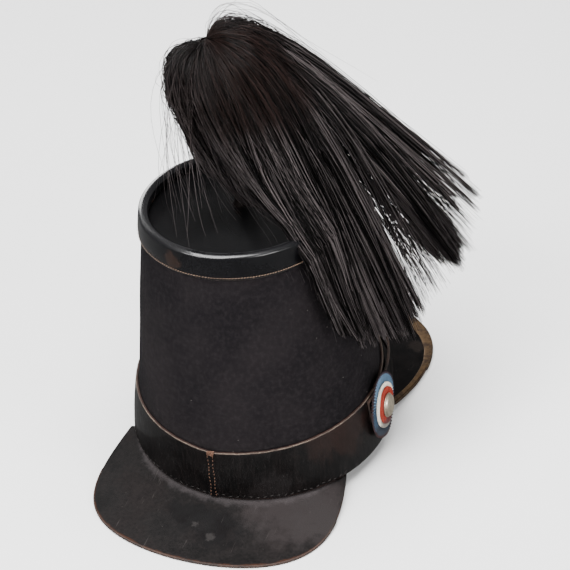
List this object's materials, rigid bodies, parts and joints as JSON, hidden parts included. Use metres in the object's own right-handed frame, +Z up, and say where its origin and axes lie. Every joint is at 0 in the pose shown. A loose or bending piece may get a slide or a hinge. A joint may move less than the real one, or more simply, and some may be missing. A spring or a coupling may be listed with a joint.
{
  "type": "shako hat with a horsehair plume",
  "caption": "Tapered military shako of black cloth and leather with two peaks, chin strap, ribbon cockade and a drooping horsehair plume.",
  "frame": {"origin": "centre of the head opening, on the plane that the peaks rest on", "axes": "+Z up through the hat, -Y towards the front peak, -X towards the wearer's right, where the cockade is"},
  "size_m": [0.2253, 0.3144, 0.3333],
  "materials": {
    "cloth": "fine black wool cloth, matt",
    "patent_leather": "black patent leather, glossy, worn at the edges",
    "worn_leather": "dull dark leather, scuffed",
    "brass": "aged brass",
    "pewter": "dull white metal",
    "blue_ribbon": "pleated ribbon with a pinked edge",
    "white_ribbon": "off-white ribbon",
    "red_ribbon": "faded red ribbon",
    "horsehair": "black horsehair with a grey sheen"
  },
  "bodies": {
    "root": {"body": "cloth", "lower_band": "patent_leather", "top_band": "patent_leather", "top_disc": "patent_leather", "rear_peak": "worn_leather", "front_peak": "patent_leather", "peak_rim": "brass", "chin_strap": "patent_leather", "cockade_blue": "blue_ribbon", "cockade_white": "white_ribbon", "cockade_red": "red_ribbon", "cockade_button": "pewter", "strap_button": "brass", "plume_socket": "brass", "plume_stem": "brass", "plume": "horsehair"}
  },
  "joints": []
}
